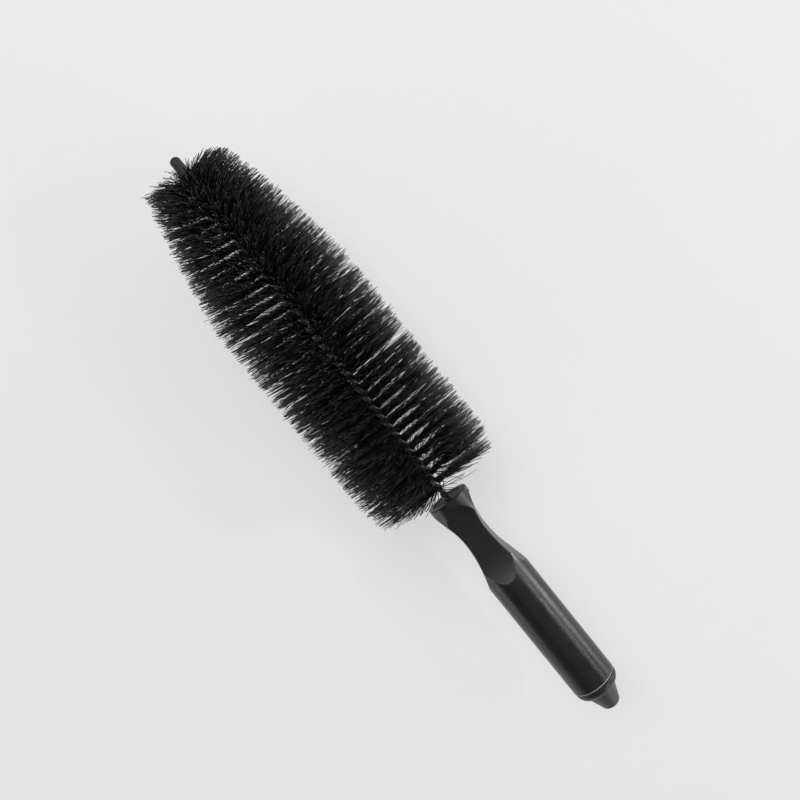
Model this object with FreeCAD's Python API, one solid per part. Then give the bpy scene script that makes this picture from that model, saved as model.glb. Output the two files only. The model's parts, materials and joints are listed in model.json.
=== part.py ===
import FreeCAD, Part
import math
import os

# Wheel brush: a bristle head on a twisted two-strand wire stem, pressed into a moulded handle.
# Units are millimetres. The brush lies on its bristles: its axis runs along X, from the capped
# tip at -X to the butt of the handle at +X, Z is up and Z = 0 is the surface it lies on.
# A "station" is a distance along the axis from the tip.

V = FreeCAD.Vector
X_AXIS = V(1, 0, 0)
Y_AXIS = V(0, 1, 0)
Z_AXIS = V(0, 0, 1)

# ---- driving dimensions ----
overall_length = 430.0
head_radius = 45.0          # full radius of the bristle head
sink = 1.5                  # how far the bristles splay where the brush rests on them

# Tip cap
cap_length = 16.0
cap_tip_radius = 3.3
cap_root_radius = 3.7
cap_gate_radius = 0.5       # flat left by the moulding gate at the end of the dome
cap_bore_depth = 13.0

# Twisted stem
strand_diameter = 2.2
strand_gap = 0.4            # room between the strands, where the bristles are gripped
twist_pitch = 13.25         # one full turn of the pair, left-handed
stem_start = 3.2
stem_end = 298.0

# Bristle head: one node for each full turn of the twist
head_start = 13.8
turn_count = 18
turn_gap = 0.3
stem_clearance = 0.1
rim_chamfer = 1.6
full_radius_station = 101.0 # the taper from the tip ends here
shoulder_station = 232.0    # the head rounds off from here to the handle end
tip_end_radius = 27.0
taper_power = 0.7           # below 1: the taper swells quickly behind the tip
handle_end_radius = 41.0

# Handle
mouth_station = 260.6
flange_radius = 13.9
flange_end = 265.2
barrel_radius = 15.0
blank_full_station = 300.0  # the neck blank has reached the barrel radius here
waist_station = 289.0
waist_half_width = 8.3      # half the flat-to-flat width of the square waist
front_scallop_radius = 57.0
rear_scallop_radius = 88.0
scallop_reach = 42.0        # the scallop's cutter runs this far behind the waist
recess_radius = 10.6
recess_depth = 2.0
socket_radius = 5.6
socket_end = 302.0
cavity_radius = 12.4
cavity_start = 330.0
cavity_cone = 8.0
barrel_end = 409.3
edge_round = 0.7
ridge_round = 0.6
ridge_start = 272.0         # the waist's corners are rounded between these stations
ridge_end = 311.5
ridge_shortest = 5.0        # an edge shorter than this isn't one of those corners

# Plug that holds the stem in the mouth of the handle
plug_lip_radius = 10.5
plug_lip_thickness = 1.5
plug_lip_round = 0.375
plug_shank_radius = 5.6
plug_end = 300.0
plug_bore_margin = 1.0

# End cap
cap_seam = 0.5
skirt_radius = 12.4
skirt_wall = 1.8
skirt_length = 12.0
band_radius = 14.7
band_end_radius = 11.5
band_length = 6.3
band_swell_along = 0.62     # the band's curve passes here, as shares of its length and its rise
band_swell_out = 0.78
nub_base_radius = 10.8
nub_end_radius = 6.3
nub_end_round = 3.2
nub_end_flare = 0.32        # the nub's side meets its rounded end this much further out
hang_hole_radius = 2.25
hang_hole_station = 421.5

# ---- working values ----
place_tolerance = 0.01
span_tolerance = 0.1
overrun = 1.0               # how far a cutter passes the face that it opens

# ---- derived values ----
tip_x = -overall_length / 2
axis_z = head_radius - sink
strand_radius = strand_diameter / 2
strand_offset = strand_radius + strand_gap / 2
stem_radius = strand_offset + strand_radius


def at(station, radius=0.0):
    """Point in the XZ plane above the axis, at a station and a radius."""
    return V(tip_x + station, 0, axis_z + radius)


def line(a, b):
    return Part.LineSegment(a, b).toShape()


def arc(a, middle, b):
    return Part.Arc(a, middle, b).toShape()


def revolve(edges):
    """Solid of revolution about the brush axis from a closed outline in the XZ plane."""
    face = Part.Face(Part.Wire(edges))
    return face.revolve(at(0), X_AXIS, 360)


def lathe(outline):
    """Revolve a closed polygon of (station, radius) corners."""
    points = [at(station, radius) for station, radius in outline]
    edges = [line(a, b) for a, b in zip(points, points[1:] + points[:1])]
    return revolve(edges)


def rod(start, end, radius):
    return Part.makeCylinder(radius, end - start, at(start), X_AXIS)


def make_tip_cap():
    """Moulded cap over the cut ends of the stem: a tapered sleeve with a domed nose."""
    nose = cap_tip_radius - cap_gate_radius
    bend = nose * math.sqrt(0.5)
    edges = [
        line(at(cap_length), at(0)),
        line(at(0), at(0, cap_gate_radius)),
        arc(at(0, cap_gate_radius), at(nose - bend, cap_gate_radius + bend), at(nose, cap_tip_radius)),
        line(at(nose, cap_tip_radius), at(cap_length, cap_root_radius)),
        line(at(cap_length, cap_root_radius), at(cap_length)),
    ]
    bore = rod(cap_length - cap_bore_depth, cap_length + overrun, stem_radius + stem_clearance)
    return revolve(edges).cut(bore)


def make_strand(side):
    """One of the two steel strands: a left-handed helix with its cut ends square to it."""
    length = stem_end - stem_start
    helix = Part.makeHelix(twist_pitch, length, strand_offset, 0, True)
    edge = helix.Edges[0]
    start = edge.valueAt(edge.FirstParameter)
    tangent = edge.tangentAt(edge.FirstParameter)
    section = Part.Wire([Part.makeCircle(strand_radius, start, tangent)])
    strand = Part.Wire(helix).makePipeShell([section], True, True)
    strand.rotate(V(0, 0, 0), Z_AXIS, side * 180)
    strand.rotate(V(0, 0, 0), Y_AXIS, 90)
    strand.translate(at(stem_start))
    return strand


def head_outline(station):
    """Radius that the bristle tips reach at a station."""
    if station < full_radius_station:
        along = (station - head_start) / (full_radius_station - head_start)
        return tip_end_radius + (head_radius - tip_end_radius) * along ** taper_power
    if station > shoulder_station:
        head_end = head_start + turn_count * twist_pitch
        along = (station - shoulder_station) / (head_end - shoulder_station)
        return head_radius - (head_radius - handle_end_radius) * along ** 2
    return head_radius


def make_bristle_turn(index):
    """The space filled by one full turn of bristles, flattened where the brush rests."""
    start = head_start + index * twist_pitch + turn_gap / 2
    end = start + twist_pitch - turn_gap
    start_radius = head_outline(start)
    end_radius = head_outline(end)
    inner = cap_root_radius + stem_clearance if start < cap_length else stem_radius + stem_clearance
    turn = lathe([
        (start, inner),
        (start, start_radius - rim_chamfer),
        (start + rim_chamfer, head_outline(start + rim_chamfer)),
        (end - rim_chamfer, head_outline(end - rim_chamfer)),
        (end, end_radius - rim_chamfer),
        (end, inner),
    ])
    floor = Part.makeBox(overall_length, 4 * head_radius, head_radius,
                         V(tip_x, -2 * head_radius, -head_radius))
    return turn.cut(floor)


def scallop_point(station, radius):
    """Height of the scallop's arc above the axis at a station."""
    offset = station - waist_station
    return waist_half_width + radius - math.sqrt(radius ** 2 - offset ** 2)


def make_scallop():
    """Cutter for the top flat of the waist: two arcs that meet at the waist, swept across Y."""
    front = flange_end
    rear = waist_station + scallop_reach
    front_mid = (front + waist_station) / 2
    rear_mid = (rear + waist_station) / 2
    top = 2 * barrel_radius
    waist = at(waist_station, waist_half_width)
    front_low = at(front, scallop_point(front, front_scallop_radius))
    rear_low = at(rear, scallop_point(rear, rear_scallop_radius))
    front_curve = arc(front_low, at(front_mid, scallop_point(front_mid, front_scallop_radius)), waist)
    rear_curve = arc(waist, at(rear_mid, scallop_point(rear_mid, rear_scallop_radius)), rear_low)
    outline = Part.Wire([
        front_curve,
        rear_curve,
        line(rear_low, at(rear, top)),
        line(at(rear, top), at(front, top)),
        line(at(front, top), front_low),
    ])
    cutter = Part.Face(outline).extrude(V(0, 4 * barrel_radius, 0))
    cutter.translate(V(0, -2 * barrel_radius, 0))
    return cutter


def round_edges(shape, radius, wanted):
    """Round the edges that a test picks out."""
    edges = [edge for edge in shape.Edges if wanted(edge)]
    return shape.makeFillet(radius, edges)


def near_station(edge, station):
    """True for an edge that lies square to the axis at a station."""
    box = edge.BoundBox
    x = tip_x + station
    return abs(box.XMin - x) < place_tolerance and abs(box.XMax - x) < place_tolerance


def is_ridge(edge):
    """True for one of the waist's four long corners, where two scallops meet."""
    box = edge.BoundBox
    low = tip_x + ridge_start - span_tolerance
    high = tip_x + ridge_end + span_tolerance
    return box.XMin > low and box.XMax < high and box.XLength > ridge_shortest


def make_handle_body():
    """Flanged mouth, square waist with four scallops, and the hollow barrel."""
    blank = lathe([
        (mouth_station, 0),
        (mouth_station, flange_radius),
        (flange_end, flange_radius),
        (blank_full_station, barrel_radius),
        (barrel_end, barrel_radius),
        (barrel_end, 0),
    ])
    cutter = make_scallop()
    for quarter in range(4):
        turned = cutter.copy()
        turned.rotate(at(0), X_AXIS, quarter * 90)
        blank = blank.cut(turned)
    blank = round_edges(blank, ridge_round, is_ridge)
    body = round_edges(blank, edge_round, lambda edge: near_station(edge, mouth_station)
                       or near_station(edge, barrel_end))
    recess = rod(mouth_station - overrun, mouth_station + recess_depth, recess_radius)
    socket = rod(mouth_station, socket_end, socket_radius)
    cavity = lathe([
        (cavity_start - cavity_cone, 0),
        (cavity_start - cavity_cone, cavity_radius / 2),
        (cavity_start, cavity_radius),
        (barrel_end + overrun, cavity_radius),
        (barrel_end + overrun, 0),
    ])
    return body.cut(recess.fuse(socket)).cut(cavity)


def make_mouth_plug():
    """Plug that grips the tail of the stem: a lip in the mouth recess and a long shank."""
    lip_start = mouth_station + recess_depth - plug_lip_thickness
    lip_end = mouth_station + recess_depth
    lip = rod(lip_start, lip_end, plug_lip_radius)
    lip = round_edges(lip, plug_lip_round, lambda edge: near_station(edge, lip_start))
    shank = rod(lip_end, plug_end, plug_shank_radius)
    bore = rod(lip_start - overrun, stem_end + plug_bore_margin, stem_radius)
    return lip.fuse(shank).removeSplitter().cut(bore)


def make_end_cap():
    """Snap-in end cap: hollow skirt, rounded band and a tapered nub with a hanging hole."""
    seam = barrel_end + cap_seam
    band_end = seam + band_length
    swell_station = seam + band_length * band_swell_along
    swell_radius = band_end_radius + (band_radius - band_end_radius) * band_swell_out
    nub_rim_radius = nub_end_radius + nub_end_flare
    nose_start = overall_length - nub_end_round
    bend = nub_end_round * math.sqrt(0.5)
    edges = [
        line(at(barrel_end - skirt_length), at(barrel_end - skirt_length, skirt_radius)),
        line(at(barrel_end - skirt_length, skirt_radius), at(seam, skirt_radius)),
        line(at(seam, skirt_radius), at(seam, band_radius - cap_seam)),
        line(at(seam, band_radius - cap_seam), at(seam + cap_seam, band_radius)),
        arc(at(seam + cap_seam, band_radius), at(swell_station, swell_radius),
            at(band_end, band_end_radius)),
        line(at(band_end, band_end_radius), at(band_end, nub_base_radius)),
        line(at(band_end, nub_base_radius), at(nose_start, nub_rim_radius)),
        arc(at(nose_start, nub_rim_radius),
            at(nose_start + bend, nub_end_radius - nub_end_round + bend),
            at(overall_length, nub_end_radius - nub_end_round)),
        line(at(overall_length, nub_end_radius - nub_end_round), at(overall_length)),
        line(at(overall_length), at(barrel_end - skirt_length)),
    ]
    hollow = rod(barrel_end - skirt_length - overrun, seam, skirt_radius - skirt_wall)
    hole = Part.makeCylinder(hang_hole_radius, 4 * barrel_radius,
                             at(hang_hole_station) - V(0, 2 * barrel_radius, 0), Y_AXIS)
    return revolve(edges).cut(hollow).cut(hole)


def export(name, shape):
    if not shape.isValid():
        print(name, "is not valid")
    print(name, len(shape.Solids), round(shape.Volume, 1))
    shape.exportStep(os.path.join("parts", name + ".step"))


def main():
    os.makedirs("parts", exist_ok=True)
    export("tip_cap", make_tip_cap())
    export("stem_strand_a", make_strand(0))
    export("stem_strand_b", make_strand(1))
    for index in range(turn_count):
        export("bristle_turn_%02d" % (index + 1), make_bristle_turn(index))
    export("mouth_plug", make_mouth_plug())
    export("handle_body", make_handle_body())
    export("end_cap", make_end_cap())


main()
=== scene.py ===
import json
import math

import bpy
import numpy as np
from mathutils import Matrix, Vector


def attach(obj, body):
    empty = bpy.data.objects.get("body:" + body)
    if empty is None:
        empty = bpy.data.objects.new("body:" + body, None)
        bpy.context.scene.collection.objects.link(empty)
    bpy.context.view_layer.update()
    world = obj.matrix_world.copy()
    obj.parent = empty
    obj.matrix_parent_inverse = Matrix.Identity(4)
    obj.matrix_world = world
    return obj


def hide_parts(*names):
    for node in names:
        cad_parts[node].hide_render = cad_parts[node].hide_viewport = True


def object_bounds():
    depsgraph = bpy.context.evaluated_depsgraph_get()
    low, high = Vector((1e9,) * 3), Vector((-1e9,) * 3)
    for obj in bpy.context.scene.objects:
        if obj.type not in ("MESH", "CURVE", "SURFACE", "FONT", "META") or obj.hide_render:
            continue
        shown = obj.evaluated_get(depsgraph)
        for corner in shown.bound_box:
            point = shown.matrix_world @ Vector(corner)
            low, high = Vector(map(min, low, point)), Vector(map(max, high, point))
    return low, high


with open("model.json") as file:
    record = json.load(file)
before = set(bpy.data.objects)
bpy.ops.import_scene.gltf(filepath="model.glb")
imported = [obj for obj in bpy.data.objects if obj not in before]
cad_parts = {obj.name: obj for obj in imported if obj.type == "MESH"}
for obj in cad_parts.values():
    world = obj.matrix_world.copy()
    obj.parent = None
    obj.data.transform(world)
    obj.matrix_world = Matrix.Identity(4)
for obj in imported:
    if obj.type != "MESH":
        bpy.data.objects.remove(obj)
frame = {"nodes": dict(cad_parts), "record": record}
cad_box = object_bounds()

# Wheel brush. The axis runs along X, from the capped tip at -X to the butt of the handle at +X.
# Lengths are in metres. A "station" is a distance along the axis from the tip.
MM = 0.001
MOUNTS = {mount["name"]: mount for mount in frame["record"]["mounts"]}
AXIS_Z = MOUNTS["barrel_clip"]["pos_m"][2]
TIP_X = cad_box[0][0]

# ---- camera, as seen from above the brush ----
LENS_MM = 40.5
SENSOR_MM = 36.0
CAMERA_HEIGHT = 0.545              # from the brush's axis to the camera
CAMERA_STATION = 0.1465            # station that the camera stands over
CAMERA_ROLL = math.radians(6.6)    # how far the camera stands round the axis, towards +Y
LOOK_AHEAD = math.radians(5.14)    # turned from square to the axis towards the butt
LOOK_ASIDE = math.radians(1.60)    # turned off the axis, towards +Y
IMAGE_SLOPE = math.radians(51.05)  # the brush runs down to the right by this much in the view

# ---- studio ----
FLOOR_SIZE = 6.0
FLOOR_GLOW = 0.51                  # keeps the floor even and pale without stronger lights
SKY_STRENGTH = 0.14

# ---- surfaces: noise scales are per metre, and a range is the part of a noise that is used ----
BLOTCH_SCALE = 45                  # soft blotches of wear
MIDDLE_RANGE = (0.3, 0.7)          # where most of a noise's values lie
PATCH_RANGE = (0.35, 0.6)          # pale bands and painted ridge highlights come and go with the blotches
COARSE_SHARE = 0.22                # the coarse grain's scale against the fine grain's
SCUFF_STRETCH = (60, 900, 900)     # scuffs are long lines along the axis
SCUFF_RANGE = (0.62, 0.74)         # only the noise's peaks are scuffs
SCUFF_TONE = 0.25
SCUFF_POLISH = 0.07                # how much a scuff takes off the roughness
FLECK_RANGE = (0.2, 0.8)           # the bristles' fine flecks

# ---- pale bands across the axis: the station where one begins, the station where it is full, and its colour ----
# painted highlight: a near-white line on the barrel's end edge, where the lip would catch the light
BARREL_EDGE_HIGHLIGHT = (408.45 * MM, 408.8 * MM, (0.65, 0.65, 0.66))
# the end cap turns paler towards the end of its nub
NUB_PALE_BAND = (412.0 * MM, 417.0 * MM, (0.075, 0.072, 0.078))

# ---- the waist's four long corners: a painted highlight along them, and a lower roughness ----
RIDGE_START = 268.0 * MM
RIDGE_END = 312.5 * MM
RIDGE_FADE = 4.0 * MM
RIDGE_WIDTH = 1.0 * MM
RIDGE_HIGHLIGHT_COLOR = (0.13, 0.13, 0.135)
RIDGE_POLISH = 0.12

# ---- the strands, painted lighter inside the head: a painted highlight against the bristles' shade ----
HEAD_HIGHLIGHT_SHARE = 0.75
HEAD_HIGHLIGHT_FADE = 3.0 * MM

# ---- bristle head ----
TWIST_PITCH = 13.25 * MM
FAN_PHASE_STATION = 3.2 * MM       # the strands' twist starts here, with a fan along Y
HEAD_START = 13.8 * MM
TURNS = sum(1 for node in frame["nodes"] if node.startswith("bristle_turn_"))
HEAD_END = HEAD_START + TURNS * TWIST_PITCH
HEAD_RADIUS = 45.0 * MM
TIP_END_RADIUS = 27.0 * MM
TAPER_POWER = 0.7                  # below 1: the head widens fastest at its tip end
FULL_RADIUS_STATION = 101.0 * MM
NARROWING_STATION = 232.0 * MM     # the head narrows from here to the handle
HANDLE_END_RADIUS = 41.0 * MM

# ---- single bristles ----
SEED = 1207
BRISTLES_PER_TURN = 830            # bristle ends in one full turn, both fans together
BRISTLE_RADIUS = 0.225 * MM
BRISTLE_TAPER = 0.78               # the end's thickness against the root's
BRISTLE_SIDES = 4
BRISTLE_RINGS = 6
CORE_RADIUS = 1.6 * MM             # the bristles leave the strands here
LONGEST = 1.0 * MM                 # how far the longest ordinary bristles pass the outline
UNEVEN = 9.0 * MM                  # how much shorter the shortest ones are
LONG_SHARE = 0.05                  # share of bristles that stand out further
LONG_BY = (0.5 * MM, 2.2 * MM)
THICKNESS = (0.85, 1.12)           # from the thinnest to the thickest, against the usual one

# ---- fans, with angles round the axis ----
FAN_SPREAD = math.radians(18.0)    # a bristle end's usual angle off its fan's middle
SPREAD_LIMIT = 2.2                 # no bristle is further out of its fan than this many spreads
TIP_SPREAD = 0.9                   # how much wider the fans stand open near the tip
TIP_SPREAD_FADE = (50 * MM, 130 * MM)
ROOT_SPREAD = 0.35                 # share of the spread that the bristles have at the strands
TIP_ROOT_SPREAD = 0.5              # how much more of it they have near the tip
TIP_ROOT_FADE = (30 * MM, 75 * MM)

# ---- leaning, in degrees along the axis, towards the tip where positive ----
LEAN_ONE_SIDE = 5.0                # on the -Y side, along the whole head
LEAN_AT_TIP = 25.0                 # how much more there at the tip
LEAN_FADE = 38.0 * MM              # and how quickly that dies away
LEAN_OTHER_SIDE = 2.0              # on the +Y side
LEAN_START_SHARE = 0.3             # the first bristles lean by this share
LEAN_START_LENGTH = 14.0 * MM
END_SPLAY = 4.0                    # the last bristles lean back towards the handle
END_SPLAY_LENGTH = 8.0 * MM
SWAY = 0.75                        # of whole fans
CLUMP_SWAY = 2.3                   # of whole clumps
STRAY = 2.3                        # of single bristles
TIP_STRAY = 0.35                   # how much more the single ones stray near the tip
TIP_STRAY_FADE = (90 * MM, 150 * MM)
STRAY_START_SHARE = 0.4
STRAY_START_LENGTH = 10.0 * MM

# ---- clumps and bends ----
CLUMP_SIZE = 10
CLUMP_PULL = (0.10, 0.75)          # how far bristles are drawn towards their clump's middle
PULL_POWER = 1.5                   # above 1: mostly near the ends
BOW_ROUND = 0.020                  # usual bend of a bristle round the axis, in radians
BOW_ALONG = 0.011                  # and along it, as a share of its reach from the axis
FAN_CLOSING = 0.5                  # how much drawing together closes the fan
CLUMP_TURN = 0.8                   # how much of it turns a bristle to its clump's middle
ROOT_LEAN = 0.45                   # share of the lean that a bristle has at the strands
OUTER_PART = 0.8                   # a bristle's length is read off the outline at this share of the radius

# ---- on the floor ----
FLOOR_CLEARANCE = 1.1              # height of a lying bristle's middle, against its radius
FLOOR_SLIDE = 0.8                  # how far it slides outwards, against how far it is lifted


def link(obj):
    bpy.context.scene.collection.objects.link(obj)
    return obj


# ---------------------------------------------------------------- materials

class Nodes:
    """A material's node tree, with short calls for the nodes used here."""

    def __init__(self, name):
        self.material = bpy.data.materials.new(name)
        self.material.use_nodes = True
        self.tree = self.material.node_tree
        self.shader = self.tree.nodes["Principled BSDF"]

    def add(self, kind, **values):
        node = self.tree.nodes.new(kind)
        for key, value in values.items():
            setattr(node, key, value)
        return node

    def join(self, source, target):
        self.tree.links.new(source, target)

    def feed(self, socket, value):
        """Join a socket to another node's output, or give it a plain value."""
        if isinstance(value, bpy.types.NodeSocket):
            self.join(value, socket)
        else:
            socket.default_value = value

    def position(self, scale=(1, 1, 1)):
        """Object position, stretched by scale."""
        source = self.add("ShaderNodeTexCoord")
        mapping = self.add("ShaderNodeMapping")
        mapping.inputs["Scale"].default_value = scale
        self.join(source.outputs["Object"], mapping.inputs["Vector"])
        return mapping.outputs["Vector"]

    def axis_value(self, axis):
        """X, Y or Z of the point that is shaded, in metres."""
        split = self.add("ShaderNodeSeparateXYZ")
        self.join(self.position(), split.inputs["Vector"])
        return split.outputs[axis]

    def noise(self, vector, scale, detail=4.0, roughness=0.55):
        node = self.add("ShaderNodeTexNoise")
        node.inputs["Scale"].default_value = scale
        node.inputs["Detail"].default_value = detail
        node.inputs["Roughness"].default_value = roughness
        self.join(vector, node.inputs["Vector"])
        return node.outputs["Fac"]

    def remap(self, value, low, high, to_low, to_high):
        """Map a value from low..high onto to_low..to_high."""
        node = self.add("ShaderNodeMapRange")
        node.inputs["From Min"].default_value = low
        node.inputs["From Max"].default_value = high
        node.inputs["To Min"].default_value = to_low
        node.inputs["To Max"].default_value = to_high
        self.join(value, node.inputs["Value"])
        return node.outputs["Result"]

    def maths(self, operation, a, b=0.0):
        node = self.add("ShaderNodeMath", operation=operation)
        self.feed(node.inputs[0], a)
        self.feed(node.inputs[1], b)
        return node.outputs["Value"]

    def times(self, a, b):
        return self.maths("MULTIPLY", a, b)

    def minus(self, a, b):
        return self.maths("SUBTRACT", a, b)

    def absolute(self, value):
        return self.maths("ABSOLUTE", value)

    def mix(self, share, start, end):
        """Blend two colours, each either plain or made by another node."""
        node = self.add("ShaderNodeMix", data_type="RGBA")
        factor, first, second = node.inputs[0], node.inputs[6], node.inputs[7]
        self.join(share, factor)
        for socket, color in ((first, start), (second, end)):
            self.feed(socket, (*color, 1) if isinstance(color, tuple) else color)
        return node.outputs[2]

    def bump(self, height, strength, distance, before=None):
        node = self.add("ShaderNodeBump")
        node.inputs["Strength"].default_value = strength
        node.inputs["Distance"].default_value = distance
        self.join(height, node.inputs["Height"])
        if before is not None:
            self.join(before, node.inputs["Normal"])
        return node.outputs["Normal"]

    def finish(self, color, roughness, normal):
        self.join(color, self.shader.inputs["Base Color"])
        self.join(roughness, self.shader.inputs["Roughness"])
        self.join(normal, self.shader.inputs["Normal"])
        return self.material


def ridge_share(m):
    """1 on the waist's long corners, which stand at 45 degrees to Y and Z, and 0 away from them."""
    beside = m.absolute(m.axis_value("Y"))
    above = m.absolute(m.minus(m.axis_value("Z"), AXIS_Z))
    near = m.remap(m.absolute(m.minus(beside, above)), 0.0, RIDGE_WIDTH, 1.0, 0.0)
    start = TIP_X + RIDGE_START
    end = TIP_X + RIDGE_END
    risen = m.remap(m.axis_value("X"), start, start + RIDGE_FADE, 0.0, 1.0)
    fallen = m.remap(m.axis_value("X"), end, end + RIDGE_FADE, 1.0, 0.0)
    return m.times(near, m.times(risen, fallen))


def moulded_plastic(name, dark, light, roughness, grain, specular=0.5, pale_band=None, ridge_highlights=False):
    """Spark-textured plastic: fine grain, soft blotches of wear, hairline scuffs and, where asked, a pale
    band across the axis and painted highlights along the waist's long corners.
    """
    m = Nodes(name)
    point = m.position()
    blotch = m.noise(point, BLOTCH_SCALE, 5)
    fine = m.noise(point, grain, 3, 0.7)
    coarse = m.noise(point, grain * COARSE_SHARE, 2)
    scuff = m.remap(m.noise(m.position(SCUFF_STRETCH), 1.0, 6, 0.75), *SCUFF_RANGE, 0.0, 1.0)
    tone = m.remap(blotch, *MIDDLE_RANGE, 0.0, 1.0 - SCUFF_TONE)
    color = m.mix(m.maths("ADD", tone, m.times(scuff, SCUFF_TONE)), dark, light)
    rough = m.minus(m.remap(blotch, *MIDDLE_RANGE, *roughness), m.times(scuff, SCUFF_POLISH))
    if pale_band is not None:
        # a pale band across the axis: a painted highlight on the barrel's end edge, a paler tone on the
        # nub
        begins, full, pale = pale_band
        share = m.remap(m.axis_value("X"), TIP_X + begins, TIP_X + full, 0.0, 1.0)
        share = m.times(share, m.remap(blotch, *PATCH_RANGE, 0.6, 1.0))
        color = m.mix(share, color, pale)
    if ridge_highlights:
        # painted highlight along the waist's long corners, which also get a lower roughness
        share = m.times(ridge_share(m), m.remap(blotch, *PATCH_RANGE, 0.4, 1.0))
        color = m.mix(share, color, RIDGE_HIGHLIGHT_COLOR)
        rough = m.minus(rough, m.times(share, RIDGE_POLISH))
    grains = m.bump(fine, 0.35, 0.12 * MM)
    pitted = m.bump(coarse, 0.25, 0.25 * MM, grains)
    scuffed = m.bump(scuff, 0.10, 0.06 * MM, pitted)
    m.shader.inputs["Specular IOR Level"].default_value = specular
    return m.finish(color, rough, scuffed)


def coated_wire(name):
    """Steel strand under black paint with worn patches, painted lighter inside the head as a painted
    highlight where the bristles shade it.
    """
    m = Nodes(name)
    paint = (0.040, 0.040, 0.042)
    worn = (0.26, 0.26, 0.265)
    highlight_tone = (0.52, 0.52, 0.53)
    point = m.position()
    wear = m.remap(m.noise(point, 260, 5, 0.65), 0.45, 0.75, 0.0, 1.0)
    flow = m.noise(point, 700, 3)
    # painted highlight: inside the head the strands turn a pale metal grey, standing in for the shine that
    # the bristles' shade hides
    head_end = TIP_X + HEAD_END
    head_highlight = m.remap(m.axis_value("X"), head_end - HEAD_HIGHLIGHT_FADE, head_end, HEAD_HIGHLIGHT_SHARE, 0.0)
    color = m.mix(head_highlight, m.mix(wear, paint, worn), highlight_tone)
    rough = m.remap(flow, *MIDDLE_RANGE, 0.24, 0.42)
    m.shader.inputs["Metallic"].default_value = 0.3
    m.shader.inputs["Coat Weight"].default_value = 0.35
    m.shader.inputs["Coat Roughness"].default_value = 0.2
    return m.finish(color, rough, m.bump(flow, 0.3, 0.1 * MM))


def bristle_plastic(name):
    """Extruded synthetic bristle: near black, with a slight tone change from one to the next."""
    m = Nodes(name)
    strand = m.add("ShaderNodeAttribute", attribute_name="bristle_tone")
    fleck = m.noise(m.position(), 900, 3)
    dark = (0.014, 0.0128, 0.0153)
    light = (0.054, 0.050, 0.058)
    tone = m.times(strand.outputs["Fac"], m.remap(fleck, *FLECK_RANGE, 0.6, 1.1))
    color = m.mix(tone, dark, light)
    rough = m.remap(fleck, *FLECK_RANGE, 0.34, 0.52)
    m.shader.inputs["Specular IOR Level"].default_value = 0.4
    return m.finish(color, rough, m.bump(fleck, 0.25, 0.05 * MM))


def paper_floor(name):
    """Matt, pale backdrop paper with a faint glow of its own."""
    m = Nodes(name)
    dark = (0.40, 0.40, 0.403)
    light = (0.42, 0.42, 0.423)
    fibres = m.noise(m.position(), 60, 5)
    color = m.mix(fibres, dark, light)
    rough = m.remap(fibres, *MIDDLE_RANGE, 0.85, 0.95)
    m.shader.inputs["Emission Color"].default_value = (1, 1, 1, 1)
    m.shader.inputs["Emission Strength"].default_value = FLOOR_GLOW
    return m.finish(color, rough, m.bump(fibres, 0.05, 0.2 * MM))


def finish_cad_parts():
    """Give each CAD node that keeps its shape its own material."""
    handle = moulded_plastic("handle_plastic", (0.0082, 0.0076, 0.0087), (0.0175, 0.0162, 0.0184),
                             (0.25, 0.37), 2600, pale_band=BARREL_EDGE_HIGHLIGHT, ridge_highlights=True)
    cap = moulded_plastic("end_cap_plastic", (0.009, 0.0085, 0.0095), (0.018, 0.017, 0.019),
                          (0.32, 0.48), 2200, pale_band=NUB_PALE_BAND)
    plug = moulded_plastic("plug_plastic", (0.008, 0.008, 0.009), (0.018, 0.018, 0.020),
                           (0.40, 0.56), 2600)
    rubber = moulded_plastic("tip_cap_rubber", (0.016, 0.016, 0.017), (0.038, 0.037, 0.040),
                             (0.46, 0.62), 3000, specular=0.4)
    wire = coated_wire("coated_wire")
    finishes = {"handle_body": handle, "end_cap": cap, "mouth_plug": plug, "tip_cap": rubber,
                "stem_strand_a": wire, "stem_strand_b": wire}
    for node, material in finishes.items():
        obj = frame["nodes"][node]
        obj.data.materials.clear()
        obj.data.materials.append(material)


# ----------------------------------------------------------------- bristles

def smooth(value, low, high):
    """Rise gently from 0 at low to 1 at high."""
    t = np.clip((value - low) / (high - low), 0, 1)
    return t * t * (3 - 2 * t)


def near_tip(station, fade):
    """1 near the tip, falling to 0 over the stretch between the two stations in fade."""
    return 1 - smooth(station, *fade)


def outline(station):
    """Radius that the bristle tips reach at each station."""
    along = np.clip((station - HEAD_START) / (FULL_RADIUS_STATION - HEAD_START), 0, 1)
    radius = TIP_END_RADIUS + (HEAD_RADIUS - TIP_END_RADIUS) * along ** TAPER_POWER
    past = np.clip((station - NARROWING_STATION) / (HEAD_END - NARROWING_STATION), 0, 1)
    return radius - (HEAD_RADIUS - HANDLE_END_RADIUS) * past ** 2


def lean_angle(station, angle):
    """How far the bristles lean towards the tip, in radians: most on the -Y side, near the tip."""
    side = (1 - np.cos(angle)) / 2  # 1 on the -Y side and 0 on the +Y side
    swept = LEAN_ONE_SIDE + LEAN_AT_TIP * np.exp(-(station - HEAD_START) / LEAN_FADE)
    lean = swept * side + LEAN_OTHER_SIDE * (1 - side)
    begun = smooth(station, HEAD_START, HEAD_START + LEAN_START_LENGTH)
    lean *= LEAN_START_SHARE + (1 - LEAN_START_SHARE) * begun
    lean -= END_SPLAY * smooth(station, HEAD_END - END_SPLAY_LENGTH, HEAD_END)
    return np.radians(lean)


def sway(station, angle):
    """Slow, uneven leaning of whole fans, in radians, from sines that never repeat together."""
    u = station / TWIST_PITCH
    wave = np.sin(1.9 * u + 2.0 * angle + 0.4)
    wave += 0.8 * np.sin(3.1 * u - angle + 2.2)
    wave += 0.7 * np.sin(4.7 * u + 1.1)
    return np.radians(SWAY * wave)


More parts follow.
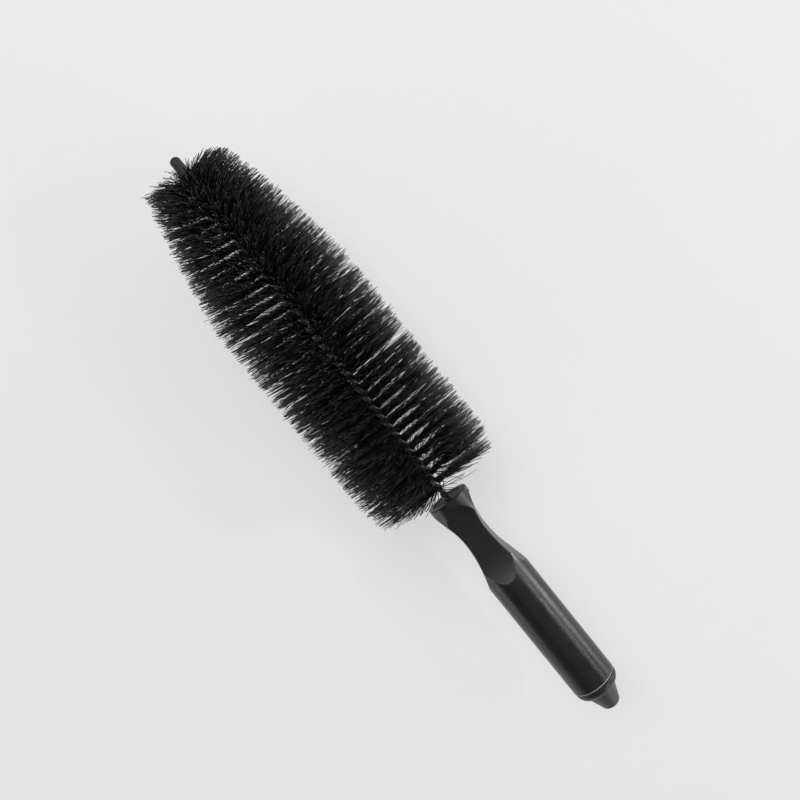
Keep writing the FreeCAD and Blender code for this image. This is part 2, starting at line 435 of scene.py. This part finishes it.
def stray_size(station):
    """How much single bristles lean away from their neighbours at each station, in degrees."""
    size = STRAY * (1 + TIP_STRAY * near_tip(station, TIP_STRAY_FADE))
    begun = smooth(station, HEAD_START, HEAD_START + STRAY_START_LENGTH)
    return size * (STRAY_START_SHARE + (1 - STRAY_START_SHARE) * begun)


def clump_means(clump, angle, lean):
    """Mean angle and mean lean of the clump that each bristle belongs to."""
    mean_angle = np.zeros(len(clump))
    mean_lean = np.zeros(len(clump))
    for number in np.unique(clump):
        member = clump == number
        mean_angle[member] = np.arctan2(np.sin(angle[member]).mean(), np.cos(angle[member]).mean())
        mean_lean[member] = lean[member].mean()
    return mean_angle, mean_lean


def grow_turn(rng, index):
    """Centre lines of one turn's bristles: an array of bristles by rings by XYZ."""
    count = BRISTLES_PER_TURN
    start = HEAD_START + index * TWIST_PITCH
    station = start + (np.arange(count) + rng.uniform(0, 1, count)) * (TWIST_PITCH / count)
    fan = rng.permutation(count) % 2
    spread = np.clip(rng.normal(0, 1, count), -SPREAD_LIMIT, SPREAD_LIMIT)
    opened = FAN_SPREAD * (1 + TIP_SPREAD * near_tip(station, TIP_SPREAD_FADE))
    at_root = ROOT_SPREAD + TIP_ROOT_SPREAD * near_tip(station, TIP_ROOT_FADE)
    angle = fan * math.pi - 2 * math.pi * (station - FAN_PHASE_STATION) / TWIST_PITCH
    lean = lean_angle(station, angle) + sway(station, angle)
    lean += np.radians(rng.normal(0, 1, count) * stray_size(station))

    # A bristle's length comes from the outline where its outer part ends up, not where it starts.
    ends_near = station - HEAD_RADIUS * OUTER_PART * np.tan(lean)
    reach = outline(np.clip(ends_near, HEAD_START, HEAD_END))
    reach = reach + LONGEST - UNEVEN * rng.random(count) ** 2
    long_ones = rng.random(count) < LONG_SHARE
    reach = reach + long_ones * rng.uniform(*LONG_BY, count)

    # Neighbours in a fan draw together towards their ends and lean as one clump.
    clump = (np.arange(count) // 2 // CLUMP_SIZE) * 2 + fan
    clumps = clump.max() + 1
    drawn = rng.uniform(*CLUMP_PULL, clumps)[clump]
    lean += np.radians(rng.normal(0, CLUMP_SWAY, clumps))[clump]
    mean_angle, mean_lean = clump_means(clump, angle, lean)
    turn_to = np.angle(np.exp(1j * (mean_angle - angle)))
    bow_round = rng.normal(0, BOW_ROUND, count)
    bow_along = rng.normal(0, BOW_ALONG, count)

    lines = np.empty((count, BRISTLE_RINGS, 3))
    for ring in range(BRISTLE_RINGS):
        t = ring / (BRISTLE_RINGS - 1)
        arch = 4 * (t * t - t)     # 0 at both ends of the bristle and -1 halfway along
        radius = CORE_RADIUS + (reach - CORE_RADIUS) * t
        pull = drawn * t ** PULL_POWER
        fanned = opened * spread * (at_root + (1 - at_root) * t)
        theta = angle + fanned * (1 - FAN_CLOSING * pull) + turn_to * pull * CLUMP_TURN
        theta += bow_round * arch
        slope = lean * (ROOT_LEAN + (1 - ROOT_LEAN) * t) + (mean_lean - lean) * pull
        x = station - radius * np.tan(slope) + bow_along * reach * arch
        lines[:, ring, 0] = TIP_X + x
        lines[:, ring, 1] = radius * np.cos(theta)
        lines[:, ring, 2] = AXIS_Z + radius * np.sin(theta)
    return lines


def rest_on_floor(lines):
    """Bristles that would pass through the floor bend and lie along it."""
    depth = np.clip(BRISTLE_RADIUS * FLOOR_CLEARANCE - lines[:, :, 2], 0, None)
    side = np.sign(lines[:, :, 1])
    lines[:, :, 1] += side * depth * FLOOR_SLIDE
    lines[:, :, 2] += depth
    return lines


def ring_points(lines, rng):
    """Corners of the rings round each centre line: bristles by rings by sides by XYZ."""
    count = len(lines)
    tangent = np.gradient(lines, axis=1)
    tangent /= np.linalg.norm(tangent, axis=2, keepdims=True)
    across = np.cross(tangent, np.array([1.0, 0.0, 0.0]))
    across /= np.linalg.norm(across, axis=2, keepdims=True)
    other = np.cross(tangent, across)
    turn = rng.uniform(0, 2 * math.pi, count)[:, None, None]
    size = rng.uniform(*THICKNESS, count)[:, None, None] * BRISTLE_RADIUS
    taper = np.linspace(1.0, BRISTLE_TAPER, BRISTLE_RINGS)[None, :, None]
    corners = []
    for side in range(BRISTLE_SIDES):
        a = turn + 2 * math.pi * side / BRISTLE_SIDES
        corners.append(lines + size * taper * (np.cos(a) * across + np.sin(a) * other))
    return np.stack(corners, axis=2)


def tube_faces():
    """Corner numbers of one tube's faces: its sides, then its two ends."""
    faces = []
    for ring in range(BRISTLE_RINGS - 1):
        for side in range(BRISTLE_SIDES):
            a = ring * BRISTLE_SIDES + side
            b = ring * BRISTLE_SIDES + (side + 1) % BRISTLE_SIDES
            faces.append((a, b, b + BRISTLE_SIDES, a + BRISTLE_SIDES))
    last = (BRISTLE_RINGS - 1) * BRISTLE_SIDES
    faces.append(tuple(reversed(range(BRISTLE_SIDES))))
    faces.append(tuple(last + side for side in range(BRISTLE_SIDES)))
    return faces


def tubes(name, lines, rng):
    """One mesh of closed, tapering tubes round the centre lines."""
    count = len(lines)
    per_tube = BRISTLE_RINGS * BRISTLE_SIDES
    points = ring_points(lines, rng)
    base = tube_faces()
    offsets = np.arange(count) * per_tube
    faces = (np.array(base)[None, :, :] + offsets[:, None, None]).reshape(-1, BRISTLE_SIDES)
    rounded = np.ones((count, len(base)), dtype=bool)
    rounded[:, -2:] = False
    mesh = bpy.data.meshes.new(name)
    mesh.vertices.add(count * per_tube)
    mesh.vertices.foreach_set("co", points.reshape(-1).astype(np.float32))
    mesh.loops.add(faces.size)
    mesh.loops.foreach_set("vertex_index", faces.reshape(-1).astype(np.int32))
    mesh.polygons.add(len(faces))
    mesh.polygons.foreach_set("loop_start", np.arange(0, faces.size, BRISTLE_SIDES, dtype=np.int32))
    mesh.polygons.foreach_set("use_smooth", rounded.reshape(-1))
    mesh.update(calc_edges=True)
    tone = mesh.attributes.new("bristle_tone", "FLOAT", "POINT")
    tones = np.repeat(rng.uniform(0, 1, count) ** 2, per_tube)
    tone.data.foreach_set("value", tones.astype(np.float32))
    return mesh


def make_head():
    """Real filaments in place of each turn's plain CAD solid."""
    material = bristle_plastic("bristle_plastic")
    for index in range(TURNS):
        rng = np.random.default_rng(SEED + index)
        node = "bristle_turn_%02d" % (index + 1)
        lines = rest_on_floor(grow_turn(rng, index))
        mesh = tubes("bristles_%02d" % (index + 1), lines, rng)
        mesh.materials.append(material)
        piece = link(bpy.data.objects.new(mesh.name, mesh))
        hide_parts(node)
        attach(piece, "root")


# -------------------------------------------------------------- photo studio

def make_floor():
    mesh = bpy.data.meshes.new("floor")
    half = FLOOR_SIZE / 2
    corners = [(-half, -half, 0), (half, -half, 0), (half, half, 0), (-half, half, 0)]
    mesh.from_pydata(corners, [], [(0, 1, 2, 3)])
    mesh.materials.append(paper_floor("paper_floor"))
    link(bpy.data.objects.new("floor", mesh))


def make_light(name, place, target, width, height, power):
    data = bpy.data.lights.new(name, "AREA")
    data.shape = "RECTANGLE"
    data.size = width
    data.size_y = height
    data.energy = power
    light = link(bpy.data.objects.new(name, data))
    light.location = place
    light.rotation_euler = (Vector(target) - Vector(place)).to_track_quat("-Z", "Y").to_euler()


def make_lights():
    """Low boxes light the sides, high ones the top, and two small ones streak the barrel."""
    middle = (0, 0, AXIS_Z)
    beyond_tip = (-0.45, 0, AXIS_Z)
    shoulder = (0.1, 0, AXIS_Z)
    make_light("right_box", (-0.45, 1.6, 0.34), beyond_tip, 2.4, 0.45, 12)
    make_light("left_box", (-0.45, -1.6, 0.30), beyond_tip, 2.4, 0.4, 8)
    make_light("tip_box", (-1.05, 0.1, 1.6), middle, 1.3, 0.9, 15)
    make_light("butt_box", (1.7, 0.9, 0.8), middle, 0.6, 0.5, 6)
    make_light("top_box", (0.75, 0.0, 2.2), middle, 1.8, 1.8, 2)
    make_light("streak_high", (0.66, 1.27, 0.95), shoulder, 0.16, 0.05, 3.4)
    make_light("streak_low", (0.66, 1.55, 0.18), shoulder, 0.16, 0.05, 3.6)
    world = bpy.data.worlds.new("studio")
    world.use_nodes = True
    sky = world.node_tree.nodes["Background"]
    sky.inputs["Color"].default_value = (1, 1, 1, 1)
    sky.inputs["Strength"].default_value = SKY_STRENGTH
    bpy.context.scene.world = world
    bpy.context.scene.view_settings.view_transform = "Standard"


def make_camera():
    """A camera above the brush, turned so that the brush runs down to the right."""
    up_from_axis = Vector((0, math.sin(CAMERA_ROLL), math.cos(CAMERA_ROLL)))
    beside = Vector((0, math.cos(CAMERA_ROLL), -math.sin(CAMERA_ROLL)))
    along = Vector((1, 0, 0))
    place = Vector((TIP_X + CAMERA_STATION, 0, AXIS_Z)) + up_from_axis * CAMERA_HEIGHT
    look = -up_from_axis * math.cos(LOOK_AHEAD) + along * math.sin(LOOK_AHEAD)
    run = along * math.cos(LOOK_AHEAD) + up_from_axis * math.sin(LOOK_AHEAD)
    forward = look * math.cos(LOOK_ASIDE) + beside * math.sin(LOOK_ASIDE)
    aside = beside * math.cos(LOOK_ASIDE) - look * math.sin(LOOK_ASIDE)
    right = run * math.cos(IMAGE_SLOPE) + aside * math.sin(IMAGE_SLOPE)
    up = -run * math.sin(IMAGE_SLOPE) + aside * math.cos(IMAGE_SLOPE)
    data = bpy.data.cameras.new("camera")
    data.lens = LENS_MM
    data.sensor_width = SENSOR_MM
    camera = link(bpy.data.objects.new("camera", data))
    turn = Matrix((right, up, -forward)).transposed()
    camera.matrix_world = Matrix.Translation(place) @ turn.to_4x4()
    bpy.context.scene.camera = camera


make_camera()
make_floor()
make_lights()
finish_cad_parts()
make_head()
